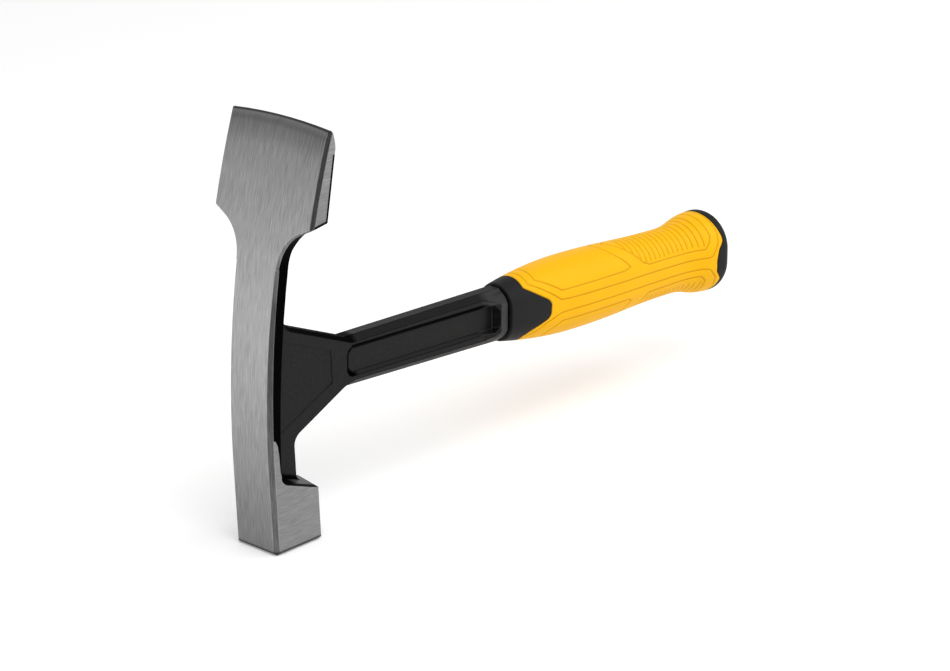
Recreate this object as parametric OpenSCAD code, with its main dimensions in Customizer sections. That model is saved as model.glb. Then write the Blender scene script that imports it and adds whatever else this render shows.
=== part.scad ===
// Brick hammer forged in one piece of steel: a curved head with a square striking poll below and a
// wide chisel blade above, a gusset, a recessed shank and a tang inside a two-colour moulded grip.
// Millimetres. The striking face lies on z = 0 with its centre at the origin, the head stands up
// along +Z, the handle runs along +X and falls slightly, and y = 0 is the plane of symmetry.

/* [Head] */
// side of the square striking face
face_w = 25.5; // [24.5:0.25:26.5]
// height of the straight poll front, below the crown's curve
crown_start = 35; // [32:1:38]
// radius of the crown seen from the side
crown_r = 400; // [390:5:420]
// width of the ground chamfer along the crown's edges, at the poll
crown_chamfer = 1.85; // [1.6:0.05:2]
// thickness of the crown plate at the poll
plate_t = 5.1; // [4.8:0.1:5.4]
// radius of the plate's back
back_r = 498; // [480:2:510]
// height where the back's curve starts
back_start = 20; // [16:1:22]
// height of the poll's side at its rear corner
poll_h = 22.7; // [20:0.5:24]
// slope of the poll's shoulder down to the rear
shoulder_slope = 20.6; // [16:0.2:24]
// forging draft of the shoulder up to the middle plane
shoulder_draft = 9; // [5:0.5:12]
// rounding between the shoulder and the crown plate
shoulder_fillet = 5; // [3:0.5:6]
// rounding of the poll's rear corners
poll_corner = 1; // [0.8:0.1:2]
// bevel around the striking face
face_bevel = 1; // [0.6:0.1:1.4]

/* [Blade] */
// height of the cutting edge above the striking face, at its middle
head_len = 180.3; // [180:0.1:181]
// width of the blade
blade_w = 59.2; // [56:0.2:62]
// chamfer down the blade's long edges
blade_chamfer = 1.5; // [1:0.1:2]
// height on the crown where the curved flare is measured
flare_mid = 132; // [130:1:134]
// radius of the fillet between neck and blade
flare_r = 17.5; // [16.5:0.1:18.5]
// sweep of the fillet before the straight part of the flare
flare_sweep = 65; // [62:1:68]
// height from the flare's measuring point to the top of the fillet
flare_lift = 5.3; // [4.8:0.1:5.8]
// width of the chamfer around the flare, to which the crown's chamfer narrows
flare_chamfer = 1; // [0.8:0.1:1.4]
// rise of the flare's underside towards the rear
flare_rise = 8; // [5:1:10]
// rise of the cutting edge at the middle above its ends
edge_rise = 1.5; // [1:0.1:2]
// lean of the blade's back
blade_lean = 12.2; // [12:0.1:12.4]
// depth from the face's centre line to the blade's back, at the blade's foot
blade_back_x = 10.3; // [10.2:0.1:10.6]
// height of the blade's foot
blade_foot = 142.7; // [142:0.1:143]
// lean of the short slope from the neck's back to the blade's back
back_slope = 23; // [21:0.5:25]
// rounding of the cutting edge's corners
edge_corner = 1.5; // [1:0.1:2]
// height where the rounded bevel of the back starts, at the middle
bevel_start = 171; // [170:0.5:172]
// radius of the back bevel
bevel_r = 20.5; // [20:0.5:22]
// angle between the blade's back and the start of its bevel
bevel_break = 5; // [4:0.5:6]
// height of the front bevel along the cutting edge
front_bevel_h = 3.4; // [2.8:0.2:4]
// lean of the front bevel
front_bevel_lean = 29; // [27:1:30]

/* [Gusset] */
// thickness of web, rib and shank
web_t = 10.4; // [9:0.2:12]
// rear line of the neck below the gusset
neck_x = 7.1; // [6:0.1:8]
// rear line of the rib above the gusset
rib_x = 5; // [4.6:0.1:5.2]
// height where the gusset's lower line meets the neck
gusset_low_z = 44.4; // [42:0.2:46]
// height where the gusset's upper line meets the rib
gusset_top_z = 94.1; // [93:0.1:95]
// slope of the gusset's lower line
gusset_low_slope = 24.9; // [23:0.1:27]
// slope of the gusset's upper line
gusset_top_slope = 23.6; // [22:0.1:25]
// fillet from rib to gusset
rib_fillet = 8; // [6:0.5:9]
// fillet from neck to gusset
neck_fillet = 6; // [4:0.5:8]
// fillet from the gusset's lower line to the shank
belly_fillet = 20; // [12:1:24]
// fillet from the shoulder to the neck's rear line
root_fillet = 3; // [2:0.5:4]
// fillet from web to crown plate
plate_fillet = 4; // [2:0.5:5]
// chamfer along the gusset's upper edges
gusset_chamfer = 1.6; // [1:0.1:2]
// border around the shallow panel on the gusset's sides
panel_inset = 6.3; // [5.5:0.1:7]
// rear line of the panel
panel_x1 = 30.2; // [28:0.1:30.2]
// depth of the panel
panel_d = 0.35; // [0.2:0.05:0.6]

/* [Handle] */
// fall of the handle from square to the striking face
handle_fall = 3.2; // [2:0.2:4]
// height of the handle's axis where it leaves the crown
handle_z = 70.9; // [70:0.1:72]
// depth of the handle's origin behind the crown's front
handle_in = 1.75; // [1.5:0.05:2]
// half height of the shank at the gusset
shank_h0 = 10.9; // [10.5:0.1:11.3]
// half height of the shank at the collar
shank_h1 = 12; // [11.6:0.1:12.4]
// chamfer along the shank's four edges
shank_chamfer = 2.65; // [2:0.05:3]
// start of the side pocket
pocket_x0 = 50.2; // [49:0.2:54]
// end of the side pocket, on the boss
pocket_x1 = 138.6; // [137:0.1:139.4]
// half height of the side pocket
pocket_h = 6.4; // [5.5:0.1:7]
// depth of the side pocket
pocket_d = 1.6; // [1:0.1:2]
// lean of the wall at the pocket's rear end
pocket_ramp = 1.2; // [1:0.1:2]
// slope of the pocket's long walls, as run over depth
pocket_slope = 0.75; // [0.5:0.05:1]
// rounding of the pocket's corners at the gusset
pocket_corner = 2.6; // [2:0.1:3]
// cut of the pocket's corners on the boss
pocket_cut = 2.7; // [2.4:0.1:3.4]
// station where the shank starts to flare to the oval boss in front of the grip
boss_x0 = 131; // [129:0.5:132]
// station where the boss has its full width
boss_x1 = 139; // [138:0.5:140]
// half width of the boss
boss_w = 8.4; // [8.2:0.1:8.6]
// radius of the boss's round top and bottom
boss_r = 8.9; // [8.7:0.1:9]
// end of the tang inside the grip
tang_x1 = 262; // [240:1:266]
// thickness of the tang
tang_t = 6; // [5:0.5:7]
// half height of the tang at the collar
tang_h0 = 8.5; // [7.5:0.5:9]
// half height of the tang at its round end
tang_h1 = 6.5; // [5:0.5:7]
// radius of the tang's two locking holes
tang_hole_r = 3.2; // [2.5:0.1:4]

/* [Grip] */
// height of the grip's centre lines over and under the axis, the top and bottom being half round
oval_split = 2.8; // [2:0.1:3.4]
// start of the collar
collar_x = 143.4; // [143:0.1:144]
// half height of the collar at its start
collar_r = 13.2; // [12.8:0.1:13.6]
// station of the swell
swell_x = 188; // [184:1:192]
// half height at the swell
swell_r = 17.4; // [17:0.1:18]
// station of the waist
waist_x = 252; // [250:0.5:254]
// half height at the waist
waist_r = 15.5; // [15:0.1:16]
// station of the flared butt
flare_x = 278; // [277:0.5:279]
// half height at the flared butt
flare_h = 19.2; // [18.6:0.1:19.6]
// rounding of the collar's front edge
collar_round = 0.6; // [0.4:0.1:1]
// rounding of the butt's end
butt_round = 5; // [4:0.25:6]
// thickness of the soft sleeve
sleeve_t = 3; // [2.4:0.1:3.4]
// start of the sleeve over and under the collar's lobe
sleeve_x0 = 152; // [151.5:0.1:152.5]
// end of the sleeve over and under the butt's lobe
sleeve_x1 = 276; // [275:0.5:277]

/* [Hidden] */
$fn = 120;
// straight pieces in each stretch of the grip's outline
stretch_n = 9;
// overlap of bodies that join, and reach of cutters past a surface
lap = 1;
// how far a fillet's circle dips under the surfaces it joins
bite = 0.02;
// size of cutters and half spaces that pass right through the hammer
reach = 60;
front_x = -face_w / 2;
hw = face_w / 2;
crown_cx = front_x + crown_r;
plate_back = front_x + plate_t;
back_cx = plate_back + back_r;
blade_hw = blade_w / 2;
edge_r = (blade_hw * blade_hw + edge_rise * edge_rise) / (2 * edge_rise);
edge_cz = head_len - edge_r;
// lean of the crown where the flare is measured
crown_tilt = asin((flare_mid - crown_start) / crown_r);
flare_px = crown_cx - crown_r * cos(crown_tilt);
// centre of the flare's fillet, and the end of its arc, as y and height
flare_c = [hw - bite + flare_r, flare_lift - flare_r * sin(flare_sweep)];
flare_end = flare_c + (flare_r - bite) * [-cos(flare_sweep), sin(flare_sweep)];
// width of the straight part of the flare, past the blade's side
flare_run = blade_hw + 4 * lap - flare_end[0];
// the flare as drawn out on the leaning crown: factor, fillet, sweep, centre and end of its arc
rim_k = 1 / cos(crown_tilt + flare_rise);
rim_r = flare_r * (1 + rim_k) / 2;
rim_sweep = 90 - atan(tan(90 - flare_sweep) * rim_k);
rim_c = [hw - bite + rim_r, flare_end[1] * rim_k - rim_r * sin(rim_sweep)];
rim_end = rim_c + (rim_r - bite) * [-cos(rim_sweep), sin(rim_sweep)];
// radius on which the crown's chamfer narrows up to the flare
taper_x = flare_px - front_x - crown_chamfer + flare_chamfer;
taper_r = ((flare_mid - crown_start) * (flare_mid - crown_start) + taper_x * taper_x) / (2 * taper_x);
shoulder_mid_h = poll_h + hw * tan(shoulder_draft);
handle_x = front_x + handle_in;
// the shank's straight run, and where the gusset has ended
shank_x0 = 50;
shank_x1 = 141;
gusset_end = 51;
// where the flat bar starts inside the gusset, behind the panel
bar_x0 = 42.3;
shank_taper = (shank_h1 - shank_h0) / (shank_x1 - shank_x0);
// fall of the shank's lower and upper lines, and a point of each
fall_low = handle_fall + atan(shank_taper);
fall_top = handle_fall - atan(shank_taper);
shank_low = from_handle(gusset_end, -shank_h(gusset_end));
shank_top = from_handle(gusset_end, shank_h(gusset_end));
// where the gusset's lines leave neck and rib, and where they meet the shank's
g_neck = [neck_x, gusset_low_z];
g_rib = [rib_x, gusset_top_z];
g_low = crossing(g_neck, gusset_low_slope, shank_low, -fall_low);
g_side = crossing(g_neck, gusset_low_slope, shank_low + [0, shank_chamfer / cos(fall_low)], -fall_low);
g_top = crossing(g_rib, -gusset_top_slope, shank_top, -fall_top);
// how far the gusset's lines run on inside the shank, past its chamfers
run_low = (shank_chamfer + lap) / sin(gusset_low_slope + fall_low);
run_top = (shank_chamfer + lap) / sin(gusset_top_slope - fall_top);
rise_x = collar_x + collar_round;
fall_mid = (swell_x + waist_x) / 2;
butt_mid = (waist_x + flare_x) / 2;
butt_end = flare_x + butt_round;

// half height of the shank at a station along the handle
function shank_h(x) = shank_h0 + (x - shank_x0) * shank_taper;
// depth of the crown's front at a height above its straight part
function crown_x(z) = crown_cx - sqrt(crown_r * crown_r - (z - crown_start) * (z - crown_start));
// depth of the crown plate's back at a height
function plate_x(z) = back_cx - sqrt(back_r * back_r - (z - back_start) * (z - back_start));
// depth of the blade's straight back at a height
function blade_back(z) = blade_back_x + (z - blade_foot) * tan(blade_lean);
// a point of the handle's plane in the hammer's frame
function from_handle(x, z) = [
    handle_x + x * cos(handle_fall) + z * sin(handle_fall),
    handle_z - x * sin(handle_fall) + z * cos(handle_fall)
];
// unit direction at an angle
function dir(a) = [cos(a), sin(a)];
// where the line through p at angle a meets the line through q at angle b
function crossing(p, a, q, b) =
    let (x = (q[1] - p[1] + p[0] * tan(a) - q[0] * tan(b)) / (tan(a) - tan(b)))
        [x, p[1] + (x - p[0]) * tan(a)];
// radius of an arc that falls by s over a length l from its crest
function arc_r(l, s) = (l * l + s * s) / (2 * s);
// fall of that arc at a distance u from its crest
function arc_drop(l, s, u) = arc_r(l, s) - sqrt(arc_r(l, s) * arc_r(l, s) - u * u);
// half height of the grip between collar and butt: arcs over swell, waist and butt
function grip_h(x) =
    x < swell_x ? swell_r - arc_drop(swell_x - rise_x, swell_r - collar_r, swell_x - x) :
    x < fall_mid ? swell_r - arc_drop(fall_mid - swell_x, (swell_r - waist_r) / 2, x - swell_x) :
    x < waist_x ? waist_r + arc_drop(waist_x - fall_mid, (swell_r - waist_r) / 2, waist_x - x) :
    x < butt_mid ? waist_r + arc_drop(butt_mid - waist_x, (flare_h - waist_r) / 2, x - waist_x) :
    flare_h - arc_drop(flare_x - butt_mid, (flare_h - waist_r) / 2, flare_x - x);
// outline points of one stretch of the grip, set in by d
function stretch(x0, x1, d) = [
    for (i = [1 : stretch_n])
        let (x = x0 + (x1 - x0) * i / stretch_n)
            [x, grip_h(x) - oval_split - d]
];
// outline points of all stretches
function flanks(d) = concat(
    stretch(rise_x, swell_x, d),
    stretch(swell_x, fall_mid, d),
    stretch(fall_mid, waist_x, d),
    stretch(waist_x, butt_mid, d),
    stretch(butt_mid, flare_x, d)
);

// a side view extruded across the middle plane
module across(w) {
    rotate([90, 0, 0])
        linear_extrude(w, center = true)
            children();
}

// a drawing of y and z extruded along x
module lengthwise(l) {
    rotate([90, 0, 90])
        linear_extrude(l)
            children();
}

// handle parts drawn along x, set on the head
module on_head() {
    translate([handle_x, 0, handle_z])
        rotate([0, handle_fall, 0])
            children();
}

// the same piece on both sides of the middle plane
module both_sides() {
    children();
    mirror([0, 1, 0])
        children();
}

// fillet in the open corner k between two edges that leave it at angles a and b
module corner_fillet(k, a, b, r) {
    m = dir((a + b) / 2);
    half = abs(a - b) / 2;
    c = k + (r - bite) / sin(half) * m;
    p = k - lap * m;
    run = r / tan(half);
    difference() {
        polygon([p, p + run * dir(a), c, p + run * dir(b)]);
        translate(c)
            circle(r);
    }
}

// side view of the crown plate and blade, before bevels
module plate_side() {
    top = head_len + 6 * lap;
    // the back's lines, drawn on past their ends
    slope_run = blade_foot * tan(back_slope);
    z = blade_foot - reach / 2;
    difference() {
        intersection() {
            union() {
                translate([front_x, 0])
                    square([reach / 2, crown_start]);
                intersection() {
                    translate([crown_cx, crown_start])
                        circle(crown_r);
                    translate([front_x, crown_start])
                        square([reach, top - crown_start]);
                }
            }
            polygon([
                [-reach, 0],
                [reach, 0],
                [reach, z],
                [blade_back(z), z],
                [blade_back(top), top],
                [-reach, top]
            ]);
        }
        intersection() {
            translate([back_cx, back_start])
                circle(back_r);
            polygon([
                [blade_back_x - slope_run, 0],
                [blade_back_x, blade_foot],
                [blade_back(blade_foot) + slope_run, 2 * blade_foot],
                [2 * reach + slope_run, 2 * blade_foot],
                [2 * reach + slope_run, 0]
            ]);
        }
        translate([plate_back, -lap])
            square([reach, back_start + lap]);
    }
}

// end of the blade: convex edge and rounded back bevel, turned about an axis along the handle's way
module blade_end() {
    turn = blade_lean - bevel_break;
    cz = bevel_start + bevel_r * sin(turn) - edge_cz;
    cx = blade_back(bevel_start) - bevel_r * cos(turn);
    r0 = bevel_start - edge_cz - bevel_r * sin(bevel_break);
    translate([0, 0, edge_cz])
        rotate([0, 90, 0])
            rotate([0, 0, 180])
                rotate_extrude() {
                    translate([0, -reach / 2])
                        square([r0, 1.5 * reach]);
                    intersection() {
                        translate([cz, cx])
                            circle(bevel_r);
                        translate([r0 - bite, -reach / 2])
                            square([edge_r - r0 + bite, 1.5 * reach]);
                    }
                }
}

// bevel along the front of the cutting edge: a cone about an axis square to the crown at its top
module front_bevel() {
    tilt = asin((head_len - crown_start) / crown_r);
    rise = edge_rise / cos(tilt);
    r = (blade_hw * blade_hw + rise * rise) / (2 * rise);
    // depth of the cone per unit of radius
    k = tan(front_bevel_lean - tilt);
    translate([crown_x(head_len), 0, head_len])
        rotate([0, tilt, 0])
            translate([0, 0, -r])
                rotate([0, 90, 0])
                    rotate([0, 0, 180])
                        rotate_extrude()
                            polygon([
                                [r - front_bevel_h - lap, -k * lap],
                                [r + 4 * lap, k * (front_bevel_h + 4 * lap)],
                                [r + 4 * lap, -3 * lap],
                                [r - front_bevel_h - lap, -3 * lap]
                            ]);
}

// front view of the blade, with round corners at the cutting edge
module blade_front() {
    y = blade_hw - edge_corner + bite;
    z = edge_cz + sqrt(edge_r * edge_r - y * y) - edge_corner + bite;
    translate([-y, 0])
        square([2 * y, head_len + lap]);
    translate([-blade_hw - lap, 0])
        square([blade_w + 2 * lap, z]);
    for (side = [-1, 1])
        translate([side * y, z])
            circle(edge_corner);
}

// frame on the crown's surface at the flare, with x into the steel and falling by a tilt
module at_flare(tilt) {
    translate([flare_px, 0, flare_mid])
        rotate([0, tilt, 0])
            children();
}

// what is left out beside the neck, up to the flare
module flare_notch() {
    side = hw - bite;
    low = -flare_mid - reach / 2;
    out = [flare_end[0] + flare_run, flare_end[1] + flare_run * tan(90 - flare_sweep)];
    at_flare(-flare_rise)
        translate([-reach, 0, 0])
            lengthwise(2 * reach) {
                translate(flare_c)
                    circle(flare_r);
                polygon([[side, low], [side, flare_c[1]], flare_c, flare_end, out, [out[0], low]]);
            }
}

// chamfer around the flare: a cone at the fillet and a wedge along the straight part
module flare_edge() {
    c = flare_chamfer + lap;
    l = flare_run / cos(90 - rim_sweep);
    at_flare(crown_tilt) {
        translate([-lap, rim_c[0], rim_c[1]])
            rotate([0, 90, 0])
                cylinder(h = c + lap, r1 = rim_r + c, r2 = rim_r - lap);
        translate([0, rim_end[0], rim_end[1]])
            rotate([90 - rim_sweep, 0, 0])
                translate([0, l, 0])
                    rotate([90, 0, 0])
                        linear_extrude(l)
                            polygon([[-lap, -lap], [c, -lap], [-lap, c]]);
    }
}

// ring of radius r that chamfers the crown's edge at a half width y, by c at the crown's start
module crown_edge_ring(y, c, r) {
    translate([front_x + r, 0, crown_start])
        rotate([-90, 0, 0])
            rotate_extrude()
                polygon([
                    [r - c - lap, y + lap],
                    [r + lap, y - c - lap],
                    [r + lap, y + lap]
                ]);
}

// chamfers of the poll's and the neck's front edges
module neck_chamfer() {
    translate([0, 0, -lap])
        linear_extrude(crown_start + lap)
            polygon([
                [front_x - lap, hw - crown_chamfer - lap],
                [front_x + crown_chamfer + lap, hw + lap],
                [front_x - lap, hw + lap]
            ]);
    intersection() {
        crown_edge_ring(hw, crown_chamfer, taper_r);
        translate([-reach / 2, 0, crown_start])
            cube([reach, reach, flare_mid + rim_c[1] * cos(crown_tilt) - crown_start]);
    }
}

// crown plate with neck, flare and blade
module crown_plate() {
    difference() {
        intersection() {
            across(blade_w)
                plate_side();
            blade_end();
            translate([-reach, 0, 0])
                lengthwise(2 * reach)
                    blade_front();
        }
        front_bevel();
        both_sides() {
            flare_notch();
            crown_edge_ring(blade_hw, blade_chamfer, crown_r);
        }
    }
    across(face_w)
        intersection() {
            plate_side();
            translate([-reach, 0])
                square([2 * reach, flare_mid]);
        }
}

// side view of rib, web and gusset
module web_side() {
    k_neck = [neck_x, shoulder_mid_h + (hw - neck_x) * tan(shoulder_slope) - lap / 2];
    // the rib runs on into the blade, and the gusset's lines run on into the shank
    rib_end = back_start + sqrt(back_r * back_r - (back_cx - rib_x) * (back_cx - rib_x)) + 3 * lap;
    // depth of the web's front line under the crown, inside the plate
    cover = 3;
    polygon([
        [plate_back - 2 * lap, poll_h - 2 * lap],
        [neck_x, poll_h - 2 * lap],
        g_neck,
        g_low + run_low * dir(gusset_low_slope),
        from_handle(pocket_x0 - 2 * lap, -shank_h0 / 2),
        from_handle(pocket_x0 - 2 * lap, shank_h0 / 2),
        g_top + run_top * dir(-gusset_top_slope),
        g_rib,
        [rib_x, rib_end],
        [crown_x(rib_end) + cover, rib_end],
        [crown_x(100) + cover, 100],
        [crown_x(60) + cover, 60]
    ]);
    corner_fillet(g_rib, 90, -gusset_top_slope, rib_fillet);
    corner_fillet(g_neck, -90, gusset_low_slope, neck_fillet);
    corner_fillet(k_neck, 90, -shoulder_slope, root_fillet);
    corner_fillet(g_side, 180 + gusset_low_slope, 360 - fall_low, belly_fillet);
}

// fillet along the joint of rib and crown plate
module plate_fillet_ring() {
    r = plate_fillet;
    y = web_t / 2;
    intersection() {
        translate([back_cx, 0, back_start])
            rotate([-90, 0, 0])
                rotate_extrude()
                    difference() {
                        translate([back_r - r + bite, y - lap])
                            square([r + lap, r + lap - bite]);
                        translate([back_r - r + bite, y + r - bite])
                            circle(r);
                    }
        across(web_t + 3 * r)
            web_side();
    }
}

// wedge that chamfers an edge along x at y = z = 0, steel below and inside
module edge_wedge(l, c) {
    lengthwise(l)
        polygon([[-c - lap, lap], [lap, -c - lap], [lap, lap]]);
}

// chamfer of one upper edge of the gusset: a cone around the rib's fillet, then a straight wedge
module gusset_edge() {
    half = 45 + gusset_top_slope / 2;
    c = g_rib + (rib_fillet - bite) / sin(half) * dir(90 - half);
    translate([c[0], web_t / 2 + lap, c[1]])
        rotate([90, 0, 0])
            cylinder(
                h = gusset_chamfer + 2 * lap,
                r1 = rib_fillet + gusset_chamfer + lap,
                r2 = rib_fillet - lap
            );
    translate([g_rib[0], web_t / 2, g_rib[1]])
        rotate([0, gusset_top_slope, 0])
            translate([rib_fillet / tan(half), 0, 0])
                edge_wedge(norm(g_top - g_rib) + run_top, gusset_chamfer - bite);
}

// shallow panel on one side of the gusset, parallel to its upper and lower lines
module gusset_panel() {
    p_top = g_rib + panel_inset * dir(-90 - gusset_top_slope);
    p_low = g_neck + panel_inset * dir(90 + gusset_low_slope);
    // the panel's front ends run under the fillets to the crown plate
    x_top = plate_x(p_top[1]) + plate_fillet / 2;
    x_low = plate_x(p_low[1]) + plate_fillet / 2;
    translate([0, web_t / 2 + lap, 0])
        rotate([90, 0, 0])
            linear_extrude(lap + panel_d)
                polygon([
                    p_low + (x_low - p_low[0]) * [1, tan(gusset_low_slope)],
                    p_low + (panel_x1 - p_low[0]) * [1, tan(gusset_low_slope)],
                    p_top + (panel_x1 - p_top[0]) * [1, -tan(gusset_top_slope)],
                    p_top + (x_top - p_top[0]) * [1, -tan(gusset_top_slope)]
                ]);
}

// web with its panels, chamfered top edges, the fillets to the plate and the one under the shank
module web() {
    difference() {
        across(web_t)
            web_side();
        both_sides() {
            gusset_edge();
            gusset_panel();
        }
    }
    // narrower than the flat strip under the shank
    across(web_t - 2 * shank_chamfer - lap / 2)
        corner_fillet(g_low, 180 + gusset_low_slope, 360 - fall_low, belly_fillet);
    both_sides()
        plate_fillet_ring();
}

// half space under one side of the poll's roof-shaped shoulder
module shoulder_plane() {
    n = norm([tan(shoulder_slope), tan(shoulder_draft), 1]);
    translate([hw, hw, poll_h])
        rotate([-asin(tan(shoulder_draft) / n), shoulder_slope, 0])
            translate([-reach, -reach, -reach])
                cube([2 * reach, 2 * reach, reach]);
}

// square striking poll
module poll() {
    b = face_bevel;
    r = poll_corner;
    // a height above the shoulder
    top = 2 * poll_h;
    intersection() {
        linear_extrude(top) {
            translate([front_x, -hw])
                square([face_w - r, face_w]);
            translate([0, r - hw])
                square([hw, face_w - 2 * r]);
            translate([hw - r, hw - r])
                circle(r);
            translate([hw - r, r - hw])
                circle(r);
        }
        across(face_w + 2)
            polygon([[front_x, 0], [hw - b, 0], [hw, b], [hw, top], [front_x, top]]);
        translate([-face_w, 0, 0])
            lengthwise(2 * face_w)
                polygon([[b - hw, 0], [hw - b, 0], [hw, b], [hw, top], [-hw, top], [-hw, b]]);
        shoulder_plane();
        mirror([0, 1, 0])
            shoulder_plane();
    }
}

// bevel of the striking face across the poll's front and along the plate's two sides
module poll_front_bevel() {
    b = face_bevel + lap;
    across(face_w + 2)
        polygon([[front_x - lap, -lap], [front_x + b, -lap], [front_x - lap, b]]);
    both_sides()
        translate([-face_w, 0, 0])
            lengthwise(face_w)
                polygon([[hw + lap, -lap], [hw - b, -lap], [hw + lap, b]]);
}

// head: crown plate, poll and web
module head() {
    shoulder_top = poll_h + (hw - plate_back) * tan(shoulder_slope);
    difference() {
        union() {
            crown_plate();
            poll();
            across(face_w)
                corner_fillet([plate_back, shoulder_top], 90, -shoulder_slope, shoulder_fillet);
        }
        both_sides() {
            neck_chamfer();
            flare_edge();
        }
        poll_front_bevel();
    }
    web();
}

// outline of the shank's side pocket: round corners at the gusset, cut corners on the boss
module pocket_side() {
    k = pocket_corner;
    h = pocket_h;
    end = pocket_x1 + lap;
    cut = pocket_cut + lap;
    polygon([
        [pocket_x0 + k, -h],
        [end - cut, -h],
        [end, cut - h],
        [end, h - cut],
        [end - cut, h],
        [pocket_x0 + k, h],
        [pocket_x0, h - k],
        [pocket_x0, k - h]
    ]);
    translate([pocket_x0 + k, h - k])
        circle(k);
    translate([pocket_x0 + k, k - h])
        circle(k);
}

// pocket on one side, with sloping long walls and a leaning wall on the boss
module pocket() {
    y0 = web_t / 2 - pocket_d;
    y1 = boss_w + lap;
    // slope of the long walls and of the rear wall, as run over depth
    s = pocket_slope;
    e = pocket_ramp / (boss_w - y0);
    intersection() {
        translate([0, y1, 0])
            rotate([90, 0, 0])
                linear_extrude(y1 - y0)
                    pocket_side();
        translate([pocket_x0 - lap, 0, 0])
            lengthwise(pocket_x1 - pocket_x0 + 4 * lap)
                polygon([
                    [y0 - lap, s * (pocket_d + lap) - pocket_h],
                    [y1 + lap, -s * (y1 + lap - web_t / 2) - pocket_h],
                    [y1 + lap, pocket_h + s * (y1 + lap - web_t / 2)],
                    [y0 - lap, pocket_h - s * (pocket_d + lap)]
                ]);
        linear_extrude(reach, center = true)
            polygon([
                [pocket_x0 - lap, y0 - lap],
                [pocket_x1 - pocket_ramp - e * lap, y0 - lap],
                [pocket_x1 + 2 * e * lap, y1 + lap],
                [pocket_x0 - lap, y1 + lap]
            ]);
    }
}

// chamfer of one long edge of the shank, from a station on
module shank_wedge(x0, x1) {
    translate([x0, web_t / 2, shank_h(x0)])
        rotate([0, -atan(shank_taper), 0])
            edge_wedge(x1 - x0 + lap, shank_chamfer);
}

// flat bar between gusset and grip, in the handle's frame, a hair thinner than the web it grows from
module flat_bar() {
    x0 = bar_x0;
    x1 = rise_x + 4 * lap;
    difference() {
        across(web_t - 2 * bite)
            polygon([[x0, -shank_h(x0)], [x1, -shank_h(x1)], [x1, shank_h(x1)], [x0, shank_h(x0)]]);
        both_sides() {
            shank_wedge(x0 - lap, x1);
            mirror([0, 0, 1])
                shank_wedge(x0 - lap, x1);
        }
    }
}

// oval boss in front of the grip: its sides flare out of the bar, and a cone rounds top and bottom
module boss() {
    x0 = boss_x0 - lap;
    x1 = rise_x + 2 * lap;
    // half width at the start, inside the bar
    w0 = web_t / 2 - bite - lap * (boss_w - web_t / 2) / (boss_x1 - boss_x0);
    // radius at the start, inside the bar's chamfers
    r0 = (shank_h(x0) + web_t / 2 - shank_chamfer - oval_split) / sqrt(2) - lap / 4;
    w = boss_w;
    intersection() {
        oval_body()
            polygon([[x0, 0], [x0, r0], [boss_x1, boss_r], [x1, boss_r], [x1, 0]]);
        linear_extrude(reach, center = true)
            polygon([[x0, -w0], [boss_x1, -w], [x1, -w], [x1, w], [boss_x1, w], [x0, w0]]);
    }
}

// shank with its boss and the pocket on each side
module shank() {
    difference() {
        union() {
            flat_bar();
            boss();
        }
        both_sides()
            pocket();
    }
}

// tang inside the grip, with two locking holes and a round end
module tang() {
    x0 = rise_x + 3 * lap;
    xe = tang_x1 - tang_h1;
    difference() {
        across(tang_t) {
            polygon([[x0, -tang_h0], [xe, -tang_h1], [xe, tang_h1], [x0, tang_h0]]);
            translate([xe, 0])
                circle(tang_h1);
        }
        for (x = [swell_x, waist_x - 8])
            translate([x, 0, 0])
                rotate([90, 0, 0])
                    cylinder(h = tang_t + 2, r = tang_hole_r, center = true);
    }
}

// shank and tang as one bar
module bar() {
    shank();
    tang();
}

// half outline of the whole grip: round collar, flanks, round butt
module grip_outline() {
    step = 15;
    collar = [
        for (a = [0 : step : 90])
            [rise_x - collar_round * cos(a), collar_r - oval_split - collar_round * (1 - sin(a))]
    ];
    butt = [
        for (a = [step : step : 90])
            [flare_x + butt_round * sin(a), flare_h - oval_split - butt_round * (1 - cos(a))]
    ];
    polygon(concat([[collar_x, 0]], collar, flanks(0), butt, [[butt_end, 0]]));
}

// half outline of the core where the sleeve lies on it
module bed_outline() {
    start = [rise_x, grip_h(rise_x) - oval_split - sleeve_t];
    polygon(concat([[rise_x, 0], start], flanks(sleeve_t), [[flare_x, 0]]));
}

// body of oval section from a half outline: a half turn on top, one below, the flat-sided part between
module oval_body() {
    translate([0, 0, oval_split])
        rotate([90, 0, 90])
            rotate_extrude(angle = 180)
                mirror([1, -1])
                    children();
    mirror([0, 0, 1])
        translate([0, 0, oval_split])
            rotate([90, 0, 90])
                rotate_extrude(angle = 180)
                    mirror([1, -1])
                        children();
    linear_extrude(2 * oval_split, center = true) {
        children();
        mirror([0, 1])
            children();
    }
}

// stretch of the handle covered by the soft sleeve, between the collar's lobe and the butt's lobe
module sleeve_zone() {
    c = sleeve_x0;
    b = sleeve_x1;
    polygon([
        [c, reach], [c, 11], [c + 11.8, 4], [c + 13.2, 1.9],
        [c + 13, -2.6], [c + 11.5, -4.6], [c + 2.4, -8.8], [c, -11], [c, -reach],
        [b, -reach], [b, -11.6], [b + 1.4, -10.2], [b - 2.5, -6],
        [b - 2.6, 4.2], [b + 1.7, 8.2], [b, 12], [b, reach]
    ]);
}

module forging() {
    color([0.45, 0.46, 0.48]) {
        head();
        on_head()
            bar();
    }
}

module grip_core() {
    color([0.09, 0.09, 0.1])
        on_head()
            difference() {
                oval_body()
                    grip_outline();
                difference() {
                    across(reach)
                        sleeve_zone();
                    oval_body()
                        bed_outline();
                }
                bar();
            }
}

module grip_sleeve() {
    color([0.98, 0.72, 0.08])
        on_head()
            intersection() {
                difference() {
                    oval_body()
                        grip_outline();
                    oval_body()
                        bed_outline();
                }
                across(reach)
                    sleeve_zone();
            }
}

forging();
grip_core();
grip_sleeve();
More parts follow.
